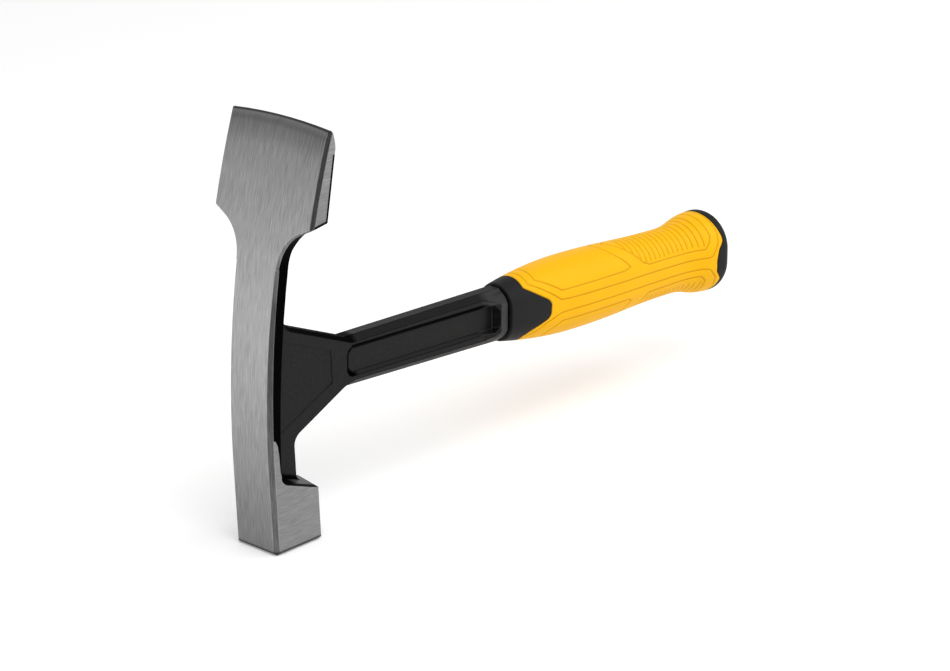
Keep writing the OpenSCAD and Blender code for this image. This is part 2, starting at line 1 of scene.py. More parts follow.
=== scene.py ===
# %% [markdown]
# # A brick hammer in its finish
# This lesson dresses the measured model of a brick hammer: one steel forging with a chisel blade, a
# square poll and a slim shank, and a grip moulded in two colours. The measured solids give the sizes.
# They could be rendered as they are, but their surfaces are plain. So the forging is copied and
# shaded, the two mouldings are worked out again as fine grids, and every piece gets its own finish.

# %% Load the measured model
from functools import partial
from math import cos, pi, radians, sin, tan
import bmesh
import bpy
import numpy as np
from mathutils import Matrix, Vector


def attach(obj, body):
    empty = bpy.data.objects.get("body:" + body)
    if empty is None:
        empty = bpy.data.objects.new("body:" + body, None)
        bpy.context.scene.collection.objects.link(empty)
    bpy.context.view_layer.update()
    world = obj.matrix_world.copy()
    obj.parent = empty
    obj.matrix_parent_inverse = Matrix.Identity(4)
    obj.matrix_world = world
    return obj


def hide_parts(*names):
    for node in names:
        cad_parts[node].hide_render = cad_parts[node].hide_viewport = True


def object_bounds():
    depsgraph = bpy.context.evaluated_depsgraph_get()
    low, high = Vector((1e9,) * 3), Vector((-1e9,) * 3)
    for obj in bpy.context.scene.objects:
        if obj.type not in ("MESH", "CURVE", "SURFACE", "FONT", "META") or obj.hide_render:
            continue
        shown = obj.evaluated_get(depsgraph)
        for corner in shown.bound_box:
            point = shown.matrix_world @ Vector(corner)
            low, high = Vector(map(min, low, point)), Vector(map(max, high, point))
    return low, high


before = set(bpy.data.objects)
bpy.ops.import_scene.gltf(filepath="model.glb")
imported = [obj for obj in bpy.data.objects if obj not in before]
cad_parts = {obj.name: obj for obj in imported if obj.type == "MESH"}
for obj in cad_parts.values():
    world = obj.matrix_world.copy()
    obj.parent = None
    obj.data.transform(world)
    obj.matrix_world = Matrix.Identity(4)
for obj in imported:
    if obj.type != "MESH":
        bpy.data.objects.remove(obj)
cad_low, cad_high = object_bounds()
MM = 0.001
print("measured box in mm:", np.round(np.array(cad_low) / MM, 1), np.round(np.array(cad_high) / MM, 1))

# %% [markdown]
# The picture is taken from the front left, a little above the hammer, with a long lens. The camera
# could be set by eye. Here its place, aim and small roll were fitted to edges of the hammer that are
# symmetric, because only then do the measured edges fall where the photograph shows them.

# %% Camera
PICTURE_W = 950
FOCAL_PIXELS = 3241
SENSOR_W = 36
CAMERA_PLACE = Vector((-807.3, -939.2, 546.9)) * MM
CAMERA_AIM = Vector((54.82, -65.11, 89.92)) * MM
CAMERA_ROLL = radians(2.207)
camera_data = bpy.data.cameras.new("camera")
camera_data.sensor_width = SENSOR_W
camera_data.lens = SENSOR_W * FOCAL_PIXELS / PICTURE_W
camera = bpy.data.objects.new("camera", camera_data)
bpy.context.scene.collection.objects.link(camera)
look = (CAMERA_AIM - CAMERA_PLACE).to_track_quat("-Z", "Y").to_matrix().to_4x4()
camera.matrix_world = Matrix.Translation(CAMERA_PLACE) @ look @ Matrix.Rotation(-CAMERA_ROLL, 4, "Z")
bpy.context.scene.camera = camera
print("lens in mm:", round(camera_data.lens, 1))

# %% [markdown]
# Every finish in this lesson is a tree of shader nodes. The trees could be drawn by hand in the Shader
# Editor, but then they would live in a file and couldn't be read here. These small tools make an empty
# tree, a node and a sum, and all later cells build with them.

# %% Tools for nodes
def shader_tree(owner):
    """The emptied node tree of a material or world."""
    owner.use_nodes = True
    owner.node_tree.nodes.clear()
    return owner.node_tree


def add_node(tree, kind, **settings):
    """A new node of that kind with its plain settings."""
    made = tree.nodes.new(kind)
    for name, value in settings.items():
        setattr(made, name, value)
    return made


def maths(tree, operation, first_in, second_in=None):
    """A maths node on one or two values; a plain number is written on its socket."""
    made = add_node(tree, "ShaderNodeMath", operation=operation)
    for socket, value in zip(made.inputs, (first_in, second_in)):
        if isinstance(value, (int, float)):
            socket.default_value = value
        elif value is not None:
            tree.links.new(value, socket)
    return made.outputs["Value"]


print("tools for nodes:", [tool.__name__ for tool in (shader_tree, add_node, maths)])

# %% [markdown]
# The hammer stands on a white sweep, as in a studio. Stronger lamps could make the floor white, but
# they would wash out the hammer too. So the floor gets a little light of its own that only the camera
# and mirrors see. It ends up white, and still takes the hammer's soft shadow.

# %% Floor
FLOOR_DROP = 0.3 * MM
FLOOR_REACH = 6.0
FLOOR_COLOUR = (0.92, 0.92, 0.92, 1)
FLOOR_LIFT = 0.2
floor_z = cad_low[2] - FLOOR_DROP
floor_mesh = bpy.data.meshes.new("floor")
floor_signs = ((-1, -1), (1, -1), (1, 1), (-1, 1))
floor_corners = [(x * FLOOR_REACH, y * FLOOR_REACH, floor_z) for x, y in floor_signs]
floor_mesh.from_pydata(floor_corners, [], [(0, 1, 2, 3)])
floor = bpy.data.objects.new("floor", floor_mesh)
bpy.context.scene.collection.objects.link(floor)
floor_finish = bpy.data.materials.new("floor_white")
tree = shader_tree(floor_finish)
paper = add_node(tree, "ShaderNodeBsdfDiffuse")
paper.inputs["Color"].default_value = FLOOR_COLOUR
path = add_node(tree, "ShaderNodeLightPath")
seen = maths(tree, "MAXIMUM", path.outputs["Is Camera Ray"], path.outputs["Is Glossy Ray"])
seen = maths(tree, "MAXIMUM", seen, path.outputs["Is Transmission Ray"])
lift_to_white = add_node(tree, "ShaderNodeEmission")
tree.links.new(maths(tree, "MULTIPLY", seen, FLOOR_LIFT), lift_to_white.inputs["Strength"])
lit_paper = add_node(tree, "ShaderNodeAddShader")
tree.links.new(paper.outputs["BSDF"], lit_paper.inputs[0])
tree.links.new(lift_to_white.outputs["Emission"], lit_paper.inputs[1])
out = add_node(tree, "ShaderNodeOutputMaterial")
tree.links.new(lit_paper.outputs["Shader"], out.inputs["Surface"])
floor_mesh.materials.append(floor_finish)
print("floor at", round(floor_z / MM, 2), "mm")

# %% [markdown]
# Bare steel shows what stands round it. A photographer hangs pale walls, a dimmer ceiling and a few
# dark flags, and so does this world. A picture of a room could do it too, but a few ramps over the
# direction are enough and need no file.

# %% World
WALL_TOP, CEILING = 0.12, 0.95
WALL_LEVEL, CEILING_LEVEL = 1.0, 0.6
DARK_FLAGS = [((0.95, 0.0, 0.31), 0.12), ((-0.67, -0.70, 0.25), 0.2)]
FLAG_EDGE = (0.78, 0.94)


def ramp_between(tree, source, low, high, out_low=0.0, out_high=1.0):
    """A value that runs straight from out_low to out_high while source runs from low to high."""
    made = add_node(tree, "ShaderNodeMapRange")
    made.inputs["From Min"].default_value = low
    made.inputs["From Max"].default_value = high
    made.inputs["To Min"].default_value = out_low
    made.inputs["To Max"].default_value = out_high
    tree.links.new(source, made.inputs["Value"])
    return made.outputs["Result"]


world = bpy.data.worlds.new("studio")
bpy.context.scene.world = world
tree = shader_tree(world)
direction = add_node(tree, "ShaderNodeTexCoord")
parts = add_node(tree, "ShaderNodeSeparateXYZ")
tree.links.new(direction.outputs["Generated"], parts.inputs["Vector"])
level = ramp_between(tree, parts.outputs["Z"], WALL_TOP, CEILING, WALL_LEVEL, CEILING_LEVEL)
for flag_direction, flag_level in DARK_FLAGS:
    toward = add_node(tree, "ShaderNodeVectorMath", operation="DOT_PRODUCT")
    toward.inputs[1].default_value = Vector(flag_direction).normalized()
    tree.links.new(direction.outputs["Generated"], toward.inputs[0])
    shade = ramp_between(tree, toward.outputs["Value"], *FLAG_EDGE, 1.0, flag_level)
    level = maths(tree, "MULTIPLY", level, shade)
sky = add_node(tree, "ShaderNodeBackground")
sky.inputs["Color"].default_value = (1, 1, 1, 1)
tree.links.new(level, sky.inputs["Strength"])
out = add_node(tree, "ShaderNodeOutputWorld")
tree.links.new(sky.outputs["Background"], out.inputs["Surface"])
bpy.context.scene.view_settings.view_transform = "Standard"
print("dark flags:", len(DARK_FLAGS))

# %% [markdown]
# Two broad lamps add to the world: one high on the camera's left, one lower on its right. Small lamps
# would draw hard shadows and hot spots. These are a metre wide, so the shadows and the lights on the
# satin paint stay soft.

# %% Lamps
GRIP_MIDDLE = (0.12, 0.0, 0.07)
LAMPS = [
    ("key_lamp", (-0.3, -0.9, 1.5), 1.3, 13),
    ("fill_lamp", (1.2, -0.7, 0.9), 1.0, 6.5),
]


def broad_lamp(name, place, size, power):
    """A square area lamp of that size at place, turned to the grip's middle, in metres and watts."""
    data = bpy.data.lights.new(name, "AREA")
    data.size = size
    data.energy = power
    lamp = bpy.data.objects.new(name, data)
    bpy.context.scene.collection.objects.link(lamp)
    aim = (Vector(GRIP_MIDDLE) - Vector(place)).to_track_quat("-Z", "Y").to_matrix().to_4x4()
    lamp.matrix_world = Matrix.Translation(place) @ aim
    return lamp


lamps = [broad_lamp(*values) for values in LAMPS]
print("lamps:", [lamp.name for lamp in lamps])

# %% [markdown]
# The forging is one piece of steel from the cutting edge to the tang inside the grip. It could be
# modelled again, but its measured mesh already has every face in its place. So it is copied, equal
# points are merged, and edges that turn by more than 25 degrees are marked sharp: the ground faces
# stay flat and the curved ones look smooth.

# %% Forging
SHARP_ANGLE = radians(25)
CAD_MERGE = 0.002 * MM
FLAT_WEIGHT = 80


def dressed_copy(node, name):
    """A copy of a measured node in the shared frame, merged, smooth, with sharp edges marked."""
    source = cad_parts[node]
    mesh = source.data.copy()
    mesh.transform(source.matrix_world)
    mesh.name = name
    work = bmesh.new()
    work.from_mesh(mesh)
    bmesh.ops.remove_doubles(work, verts=work.verts, dist=CAD_MERGE)
    for face in work.faces:
        face.smooth = True
    for edge in work.edges:
        edge.smooth = edge.calc_face_angle(0) < SHARP_ANGLE
    work.to_mesh(mesh)
    work.free()
    mesh.materials.clear()
    piece = bpy.data.objects.new(name, mesh)
    bpy.context.scene.collection.objects.link(piece)
    return piece


forging = dressed_copy("forging", "hammer_forging")
even_light = forging.modifiers.new("even_light", "WEIGHTED_NORMAL")
even_light.keep_sharp = True
even_light.weight = FLAT_WEIGHT
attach(forging, "root")
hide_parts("forging")
print("forging triangles:", len(forging.data.polygons))

# %% [markdown]
# The grip follows the handle, which falls a little from the head. Its section is an oval: two half
# rings with a short straight piece on each side. Its height swells, narrows at the waist and flares
# at the butt. One could sculpt that, but arcs that meet smoothly are how the mould is drawn, and the
# same formulas then serve the black core and the yellow sleeve.

# %% Shape of the grip
HANDLE_X = -11.0
HANDLE_Z = 70.9
HANDLE_FALL = radians(3.2)
SPLIT = 2.8
RISE_X, COLLAR_R = 144.0, 13.2
SWELL_X, SWELL_R = 188.0, 17.4
WAIST_X, WAIST_R = 252.0, 15.5
FLARE_X, FLARE_R, BUTT_ROUND = 278.0, 19.2, 5.0
BUTT_END = FLARE_X + BUTT_ROUND


def arc_drop(length, fall, along):
    """How far an arc has fallen after along, when it falls by fall over length."""
    radius = (length ** 2 + fall ** 2) / (2 * fall)
    return radius - np.sqrt(np.maximum(radius ** 2 - along ** 2, 0))


def grip_height(x):
    """Half the grip's height at x along the handle: arcs from collar to swell, waist and flare."""
    fall = (SWELL_R - WAIST_R) / 2
    rise = (FLARE_R - WAIST_R) / 2
    fall_mid = (SWELL_X + WAIST_X) / 2
    butt_mid = (WAIST_X + FLARE_X) / 2
    back = np.sqrt(np.maximum(BUTT_ROUND ** 2 - (x - FLARE_X) ** 2, 0))
    return np.select(
        [x < RISE_X, x < SWELL_X, x < fall_mid, x < WAIST_X, x < butt_mid, x < FLARE_X],
        [
            COLLAR_R,
            SWELL_R - arc_drop(SWELL_X - RISE_X, SWELL_R - COLLAR_R, SWELL_X - x),
            SWELL_R - arc_drop(fall_mid - SWELL_X, fall, x - SWELL_X),
            WAIST_R + arc_drop(WAIST_X - fall_mid, fall, WAIST_X - x),
            WAIST_R + arc_drop(butt_mid - WAIST_X, rise, x - WAIST_X),
            FLARE_R - arc_drop(FLARE_X - butt_mid, rise, FLARE_X - x),
        ],
        FLARE_R - BUTT_ROUND + back,
    )


print("half heights at swell and waist:", grip_height(np.array([SWELL_X, WAIST_X])))

# %% [markdown]
# A grid needs columns round the oval. A stretched circle would be quick, but it has no straight sides.
# So the columns take equal steps of angle on the two half rings and equal steps of height on the two
# straight sides. Each column keeps its angle and its lift, and any surface of the grip is then just a
# radius at those angles.

# %% Columns round the oval
ARC_STEPS = 112
FLAT_STEPS = 16
half_turn = np.linspace(0, pi, ARC_STEPS, endpoint=False)
flat_run = np.linspace(1, -1, FLAT_STEPS, endpoint=False)
turn = np.concatenate([half_turn, np.full(FLAT_STEPS, pi), half_turn + pi, np.zeros(FLAT_STEPS)])
lift = np.concatenate([np.ones(ARC_STEPS), flat_run, -np.ones(ARC_STEPS), -flat_run])
half_side = np.minimum(half_turn, pi - half_turn)
side_angle = np.concatenate([half_side, np.zeros(FLAT_STEPS), half_side, np.zeros(FLAT_STEPS)])


def across_and_up(x, depth):
    """Sideways and upward place on the oval at x, moved inward by depth: a ring plus the split."""
    radius = grip_height(x) - SPLIT - depth
    return radius * np.cos(turn), radius * np.sin(turn) + SPLIT * lift


def to_hammer(x, y, z):
    """Points of the handle's own frame, turned down by the handle's fall, in metres."""
    along = HANDLE_X + x * cos(HANDLE_FALL) + z * sin(HANDLE_FALL)
    up = HANDLE_Z - x * sin(HANDLE_FALL) + z * cos(HANDLE_FALL)
    return np.stack([along, y, up], axis=-1) * MM


print("grip columns:", len(turn))

# %% [markdown]
# The yellow sleeve doesn't end in plain rings. At the collar the black reaches back into it as a
# rounded tongue on each side, and at the butt the black reaches forward in the same way. A cut with
# a second solid would give such a border, with ragged faces. Here the border is a line of points,
# up the grip and along it, and each column finds its own crossing, so the grid simply ends there.

# %% Borders between black and yellow
FRONT_BORDER = np.array([
    (-15, 151.9), (-11.2, 151.9), (-8.8, 154.5), (-4.6, 163.5), (-2.6, 165),
    (1.9, 165.3), (4, 163.85), (11.1, 151.9), (15, 152.3),
])
BACK_BORDER = np.array([
    (-19, 276), (-14, 277), (-10.4, 277.3), (-6.1, 273.6), (-1, 273.3),
    (4.3, 274.4), (8.1, 277.4), (10.3, 277.3), (15.3, 276.2), (19, 275.5),
])
CROSSING_STEPS = 40
STEEPEST = 2.4


def border_column(border):
    """Where each column crosses a border: x moves halfway to the border's x at its height, often."""
    x = np.full(len(turn), border[:, 1].mean())
    for step in range(CROSSING_STEPS):
        z = across_and_up(x, 0)[1]
        x = (x + np.interp(z, border[:, 0], border[:, 1])) / 2
    return (np.roll(x, -1) + x + np.roll(x, 1)) / 3


def slant(x):
    """Length along x that one unit across the border takes, from the border's slope round the oval."""
    y, z = across_and_up(x, 0)
    run = np.hypot(np.roll(y, -1) - np.roll(y, 1), np.roll(z, -1) - np.roll(z, 1))
    slope = (np.roll(x, -1) - np.roll(x, 1)) / run
    return np.minimum(np.sqrt(1 + slope ** 2), STEEPEST)


front_x = border_column(FRONT_BORDER)
back_x = border_column(BACK_BORDER)
front_slant = slant(front_x)
back_slant = slant(back_x)
print("front border:", front_x.min().round(1), front_x.max().round(1))
print("back border:", back_x.min().round(1), back_x.max().round(1))

# %% [markdown]
# The sleeve carries engraved lines: a thumb panel on top, a ribbed panel behind it, long lines along
# the sides and panels underneath. A bump texture could hint at them, but a mould cuts real grooves.
# So each line is a row of points along and up the grip, drawn on the unrolled surface.

# %% Engraved lines
OVER = 99.0
THUMB_PANEL = [
    (160, OVER), (159.5, 13), (171.5, 6.8), (212.5, 6.8), (217, 7.7),
    (214.6, 10.4), (208.8, 14.7), (204.5, OVER),
]
UPPER_LINE = [
    (155.5, OVER), (155.2, 12), (171, 2.7), (176, 2.4), (268.9, 1.4),
    (270.5, 2), (274, 7.5), (275, 12), (274.3, OVER),
]
RIB_PANEL = [
    (211, OVER), (226, 7.8), (230, 6.1), (264.8, 5.7), (266.5, 5.8),
    (268.7, 8), (270.3, 11), (270.3, OVER),
]
LOWER_LINE = [
    (152.5, -12.4), (162.9, -6.4), (171, -3.4), (178.3, -3.1), (264.6, -3.5),
    (268.9, -4.2), (273, -8.5), (274.5, -13), (274.5, -OVER),
]
LOWER_PALM = [
    (161, -OVER), (165.4, -11.4), (172.3, -7.4), (216.2, -7.4), (218, -8.4),
    (215, -11.5), (206, -OVER),
]
LOWER_RIB_PANEL = [
    (221, -OVER), (228, -8.9), (230, -7.3), (260.6, -6.9), (264.7, -7.1),
    (267.5, -9.5), (268.7, -OVER),
]


def unrolled(x, z):
    """Distance round the section from the side's middle to height z: straight, then along the arc."""
    radius = grip_height(x) - SPLIT
    arc = np.clip((np.abs(z) - SPLIT) / radius, 0, 1)
    return np.sign(z) * (np.minimum(np.abs(z), SPLIT) + radius * np.arcsin(arc))


def line_segments(points):
    """Start and end of every piece of an engraved line on the unrolled surface."""
    line = np.array(points, dtype=float)
    flat = np.stack([line[:, 0], unrolled(line[:, 0], line[:, 1])], axis=1)
    return list(zip(flat[:-1], flat[1:]))


segments = []
for panel in (THUMB_PANEL, UPPER_LINE, RIB_PANEL, LOWER_LINE, LOWER_PALM, LOWER_RIB_PANEL):
    segments += line_segments(panel)
print("engraved pieces:", len(segments))

# %% [markdown]
# The ribs are short grooves at an even pitch, where the fingers need hold. Each starts a little inside
# its panel and runs over the top, or under the grip, to the middle. The front ribs of the upper panel
# start higher, because the panel's corner is cut there. They could be drawn one by one like the panels,
# but a pitch and a count say the same in less.

# %% Ribs
RIB_PITCH = 3.13
TOP_RIB_X, TOP_RIBS = 219.0, 16
LOW_RIB_X, LOW_RIBS = 231.0, 12
RIB_LOW, RIB_CUT, RIB_CUT_END = 7.6, 1.05, 227.5
LOW_RIB_START = 10.4
FAR = 9.0
top_ribs = TOP_RIB_X + RIB_PITCH * np.arange(TOP_RIBS)
low_ribs = LOW_RIB_X + RIB_PITCH * np.arange(LOW_RIBS)


def rib_segments(places, start, sign):
    """A short line at each rib's place, from its start round to the middle of top or bottom."""
    middle = unrolled(places, np.full(len(places), OVER))
    return [
        (np.array((x, sign * low)), np.array((x, sign * high)))
        for x, low, high in zip(places, start, middle)
    ]


def groove_share(x, q, half_width):
    """1 on an engraved line, falling smoothly to 0 at half_width from the nearest one."""
    nearest = np.full(x.shape, FAR)
    for start, end in segments:
        step = end - start
        share = ((x - start[0]) * step[0] + (q - start[1]) * step[1]) / (step @ step)
        share = np.clip(share, 0, 1)
        gap = np.hypot(x - start[0] - share * step[0], q - start[1] - share * step[1])
        nearest = np.minimum(nearest, gap)
    return np.maximum(1 - (nearest / half_width) ** 2, 0) ** 2


segments += rib_segments(top_ribs, RIB_LOW + RIB_CUT * np.maximum(RIB_CUT_END - top_ribs, 0), 1)
segments += rib_segments(low_ribs, np.full(len(low_ribs), LOW_RIB_START), -1)
print("with ribs:", len(segments))

# %% [markdown]
# Both mouldings become meshes in the same way: a grid of points, four-cornered faces between them,
# and a last pass that merges the points of a pole and turns the faces outward. Revolving a profile
# with a modifier would do for a round grip, but this one is oval and its borders wander.

# %% Tools for grids
GRID_MERGE = 0.004 * MM


def edge_dip(gap, radius):
    """Depth of a rounded edge at gap from its end: a quarter ring of that radius."""
    return radius - np.sqrt(np.maximum(radius ** 2 - (radius - np.minimum(gap, radius)) ** 2, 0))


def ring_faces(rows, columns, closed):
    """Four-cornered faces of a grid that closes round its columns, and round its rows if closed."""
    row = np.arange(rows if closed else rows - 1)[:, None]
    column = np.arange(columns)[None, :]
    next_row = (row + 1) % rows
    next_column = (column + 1) % columns
    corners = (row * columns + column, row * columns + next_column)
    corners += (next_row * columns + next_column, next_row * columns + column)
    return np.stack(np.broadcast_arrays(*corners), axis=-1).reshape(-1, 4)


def grid_piece(name, points, closed):
    """A mesh object from a grid of points, one point per row and column."""
    mesh = bpy.data.meshes.new(name)
    rows, columns = points.shape[:2]
    mesh.from_pydata(points.reshape(-1, 3).tolist(), [], ring_faces(rows, columns, closed).tolist())
    mesh.update()
    piece = bpy.data.objects.new(name, mesh)
    bpy.context.scene.collection.objects.link(piece)
    return piece


def finish_mesh(piece):
    """Merges equal points, turns faces outward and shades them smooth."""
    work = bmesh.new()
    work.from_mesh(piece.data)
    bmesh.ops.remove_doubles(work, verts=work.verts, dist=GRID_MERGE)
    bmesh.ops.recalc_face_normals(work, faces=work.faces)
    for face in work.faces:
        face.smooth = True
    open_edges = sum(not edge.is_manifold for edge in work.edges)
    work.to_mesh(piece.data)
    work.free()
    print(piece.name, "faces:", len(piece.data.polygons), "open edges:", open_edges)


print("corners of a face:", ring_faces(2, 3, False)[0])

# %% [markdown]
# The sleeve is a soft moulding over the core. It could be a sheet with a Solidify modifier, but its
# ends are rounded and its inside is plain. So it is one closed shell: rows run from the front border
# to the back border on the outside, dip at the engraved lines, and return on the inside. How deep a
# point lies in a groove is kept with it, for the colour.

# %% Sleeve
SLEEVE_DEPTH = 2.4
SLEEVE_EDGE = 0.8
GROOVE_DEPTH = 0.4
GROOVE_HALF = 0.55
SLEEVE_ROWS = 356
INNER_ROWS = 10
edge_steps = np.array((0.0, 0.06, 0.2, 0.4, 0.6, 0.8))[:, None]
columns = np.ones((1, len(turn)))
run = np.linspace(0, 1, SLEEVE_ROWS)[1:-1, None]
first = front_x + SLEEVE_EDGE * front_slant
last = back_x - SLEEVE_EDGE * back_slant
front_rows = front_x + edge_steps * front_slant
back_rows = back_x - edge_steps[::-1] * back_slant
outer_x = np.concatenate([front_rows, first + (last - first) * run, back_rows])
edge_depth = np.concatenate([
    edge_dip(edge_steps, SLEEVE_EDGE) * columns,
    np.zeros((len(run), len(turn))),
    edge_dip(edge_steps[::-1], SLEEVE_EDGE) * columns,
])
outer_q = SPLIT * lift + np.sign(lift) * (grip_height(outer_x) - SPLIT) * side_angle
groove = groove_share(outer_x, outer_q, GROOVE_HALF)
outer_y, outer_z = across_and_up(outer_x, edge_depth + GROOVE_DEPTH * groove)
inner_x = front_x + (back_x - front_x) * np.linspace(1, 0, INNER_ROWS)[:, None]
inner_y, inner_z = across_and_up(inner_x, SLEEVE_DEPTH)
outside = to_hammer(outer_x, outer_y, outer_z)
inside = to_hammer(inner_x, inner_y, inner_z)
sleeve = grid_piece("grip_sleeve_moulding", np.concatenate([outside, inside]), True)
groove_values = np.concatenate([groove, np.zeros(inner_x.shape)]).astype(np.float32)
groove_mark = sleeve.data.attributes.new("groove", "FLOAT", "POINT")
groove_mark.data.foreach_set("value", groove_values.ravel())
finish_mesh(sleeve)
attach(sleeve, "root")
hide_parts("grip_sleeve")

# %% [markdown]
# The black core shows as the collar in front and as the butt behind, and runs on hidden under the
# sleeve. Two separate caps would look the same from outside, but the real one is one moulding, so it
# is one skin here too. Its rows start in the middle of the flat front face, come out to the rounded
# lip, follow the collar, dive under the sleeve and rise again for the butt and its round end.

# %% Core
COLLAR_FRONT = 143.4
LIP = 0.6
CORE_EDGE = 0.4
CORE_DEPTH = 2.6
COLLAR_ROWS, HIDDEN_ROWS, BUTT_ROWS = 30, 12, 30
lip_steps = np.array((0.0, 0.04, 0.14, 0.28, 0.44, 0.6))[:, None]
core_steps = np.array((0.4, 0.25, 0.1, 0.0))[:, None]
collar_run = np.linspace(0, 1, COLLAR_ROWS)[1:-1, None]
hidden_run = np.linspace(0, 1, HIDDEN_ROWS)[:, None]
butt_run = np.sin(np.linspace(0, pi / 2, BUTT_ROWS))[1:, None]
face_shrink = np.array((0.0, 0.3, 0.6, 0.85))[:, None]
cap_shrink = np.array((0.9, 0.7, 0.45, 0.2, 0.0))[:, None]
lip_end = COLLAR_FRONT + LIP
collar_end = front_x - CORE_EDGE * front_slant
butt_start = back_x + CORE_EDGE * back_slant


def constant_rows(like, value):
    """As many rows as there are in like, that hold one value in every column."""
    return np.full((len(like), len(turn)), float(value))


core_x = np.concatenate([
    constant_rows(face_shrink, COLLAR_FRONT),
    (COLLAR_FRONT + lip_steps) * columns,
    lip_end + (collar_end - lip_end) * collar_run,
    front_x - core_steps * front_slant,
    front_x + (back_x - front_x) * hidden_run,
    back_x + core_steps[::-1] * back_slant,
    butt_start + (BUTT_END - butt_start) * butt_run,
    constant_rows(cap_shrink, BUTT_END),
])
core_depth = np.concatenate([
    constant_rows(face_shrink, LIP),
    edge_dip(lip_steps, LIP) * columns,
    constant_rows(collar_run, 0),
    edge_dip(core_steps, CORE_EDGE) * columns,
    constant_rows(hidden_run, CORE_DEPTH),
    edge_dip(core_steps[::-1], CORE_EDGE) * columns,
    constant_rows(butt_run, 0),
    constant_rows(cap_shrink, 0),
])
core_y, core_z = across_and_up(core_x, core_depth)
shrink = np.ones((len(core_x), 1))
shrink[:len(face_shrink)] = face_shrink
shrink[-len(cap_shrink):] = cap_shrink
core = grid_piece("grip_core_moulding", to_hammer(core_x, core_y * shrink, core_z * shrink), False)
finish_mesh(core)
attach(core, "root")
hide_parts("grip_core")

# %% [markdown]
# The forging has two finishes. Crown, blade and poll are ground bare; web, shoulder, shank and the
# blade's back are dipped in satin black. Two materials on chosen faces would do, but the dip ends in
# the middle of faces. So one material holds both, and tells them apart by the place on the forging and
# by the way a face points. First come tools that give the place in millimetres, noise on it, and the
# distance past a plane.

# %% Tools for places
def place_in_mm(tree):
    """The object's own coordinates in millimetres, as a vector and as x, y and z, and the normal."""
    coords = add_node(tree, "ShaderNodeTexCoord")
    scale = add_node(tree, "ShaderNodeMapping")
    scale.inputs["Scale"].default_value = (1 / MM, 1 / MM, 1 / MM)
    tree.links.new(coords.outputs["Object"], scale.inputs["Vector"])
    split = add_node(tree, "ShaderNodeSeparateXYZ")
    tree.links.new(scale.outputs["Vector"], split.inputs["Vector"])
    facing = add_node(tree, "ShaderNodeSeparateXYZ")
    tree.links.new(coords.outputs["Normal"], facing.inputs["Vector"])
    return scale.outputs["Vector"], split.outputs, facing.outputs


def streaks(tree, vector, stretch, detail=3.0):
    """Noise on the place scaled by stretch per millimetre: small numbers draw it out into lines."""
    scale = add_node(tree, "ShaderNodeMapping")
    scale.inputs["Scale"].default_value = stretch
    tree.links.new(vector, scale.inputs["Vector"])
    made = add_node(tree, "ShaderNodeTexNoise")
    made.inputs["Scale"].default_value = 1.0
    made.inputs["Detail"].default_value = detail
    tree.links.new(scale.outputs["Vector"], made.inputs["Vector"])
    return made.outputs["Fac"]


def plane_gap(tree, vector, across, point):
    """Distance past the plane through point: the product of across with the way from point."""
    made = add_node(tree, "ShaderNodeVectorMath", operation="DOT_PRODUCT")
    made.inputs[1].default_value = across
    tree.links.new(vector, made.inputs[0])
    return maths(tree, "SUBTRACT", made.outputs["Value"], Vector(across).dot(Vector(point)))


steel = bpy.data.materials.new("ground_and_painted_steel")
tree = shader_tree(steel)
vector, place, facing = place_in_mm(tree)
print("place nodes:", len(tree.nodes))

# %% [markdown]
# A mask is a value from 0 to 1 that says how far a finish reaches. Comparisons could make it, but they
# leave jagged borders. Here a mask is a ramp over a span: the first number is where it is 0, the second
# where it is 1. Spans of a place are in millimetres, and spans of a facing lie between -1 and 1. Products
# and maxima of such ramps give any region. The tools get short names that are bound to the steel.

# %% Tools for masks
def all_of(tree, first_in, *others):
    """The product of masks, which is 1 only where every one of them is."""
    for other in others:
        first_in = maths(tree, "MULTIPLY", first_in, other)
    return first_in


def any_of(tree, first_in, *others):
    """The largest of some masks."""
    for other in others:
        first_in = maths(tree, "MAXIMUM", first_in, other)
    return first_in


def window(tree, source, rise, fall):
    """1 between two spans of source: it grows over the span rise and goes again over the span fall."""
    return all_of(tree, ramp_between(tree, source, *rise), ramp_between(tree, source, *fall))


def line_through(tree, source, points, top):
    """A value that follows straight lines through points of (source, value), values up to top."""
    low = points[0][0]
    high = points[-1][0]
    made = add_node(tree, "ShaderNodeFloatCurve")
    curve = made.mapping.curves[0]
    spots = [((x - low) / (high - low), value / top) for x, value in points]
    curve.points[0].location = spots[0]
    curve.points[-1].location = spots[-1]
    for spot in spots[1:-1]:
        curve.points.new(*spot)
    for point in curve.points:
        point.handle_type = "VECTOR"
    made.mapping.update()
    tree.links.new(ramp_between(tree, source, low, high), made.inputs["Value"])
    return maths(tree, "MULTIPLY", made.outputs["Value"], top)


ramp, calc, noise = (partial(tool, tree) for tool in (ramp_between, maths, streaks))
both, either, within = (partial(tool, tree) for tool in (all_of, any_of, window))
print("tools are bound to:", steel.name)

# %% [markdown]
# A face is bare where it looks forward and lies close behind the crown's curve, on the blade's sides
# inside a thin painted rim, on the bevel of the cutting edge, and on the poll's sides below the line
# where the dip ended. The mask could be painted on the mesh, but its borders would be as coarse as the
# faces. Worked out from places, it is sharp from near and far. The dip's line falls from the crown's
# chamfer into the corner and runs out to the rear, and a little noise makes it wander as a dip does.

